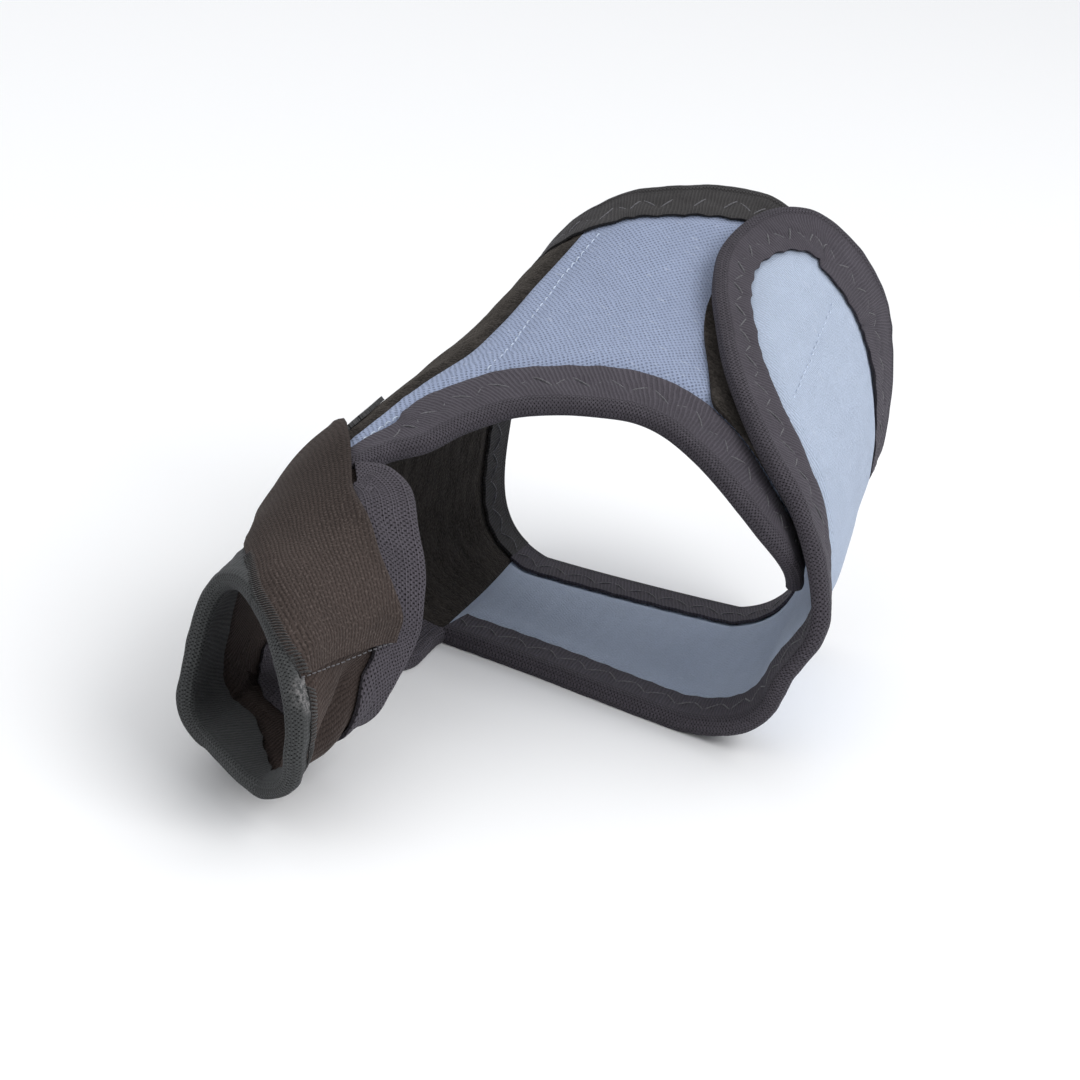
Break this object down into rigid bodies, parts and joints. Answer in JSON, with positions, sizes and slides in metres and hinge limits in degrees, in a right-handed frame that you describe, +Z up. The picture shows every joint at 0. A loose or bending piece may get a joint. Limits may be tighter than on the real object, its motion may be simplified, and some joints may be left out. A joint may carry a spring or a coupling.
{
  "type": "bunion corrector",
  "caption": "Soft brace with a padded midfoot band, a lapped hook and loop strap, a toe cuff and an elastic pull strap.",
  "frame": {"origin": "middle of the object's bounding box in X and Y, on the surface that the flat sole rests on", "axes": "+Y from the toe cuff back towards the heel, +Z up, +X towards the outer side of the foot"},
  "size_m": [0.0858, 0.1458, 0.0764],
  "materials": {
    "blue_knit": "matt blue-grey tricot knit laminated to foam",
    "dark_velour": "dark brown-black brushed loop velour",
    "grey_binding": "dark grey knitted binding tape",
    "brown_elastic": "dark brown ribbed elastic webbing with a soft face",
    "black_hook_tape": "black moulded hook tape"
  },
  "bodies": {
    "root": {"instep_panel": "blue_knit", "closure_strap": "blue_knit", "medial_panel": "dark_velour", "loop_patch": "dark_velour", "closure_hook_patch": "black_hook_tape", "strap_hook_tab": "black_hook_tape", "toe_cuff": "brown_elastic", "toe_strap": "brown_elastic", "panel_front_binding": "grey_binding", "panel_rear_binding": "grey_binding", "strap_binding": "grey_binding", "cuff_front_binding": "grey_binding", "cuff_rear_binding": "grey_binding"}
  },
  "joints": []
}
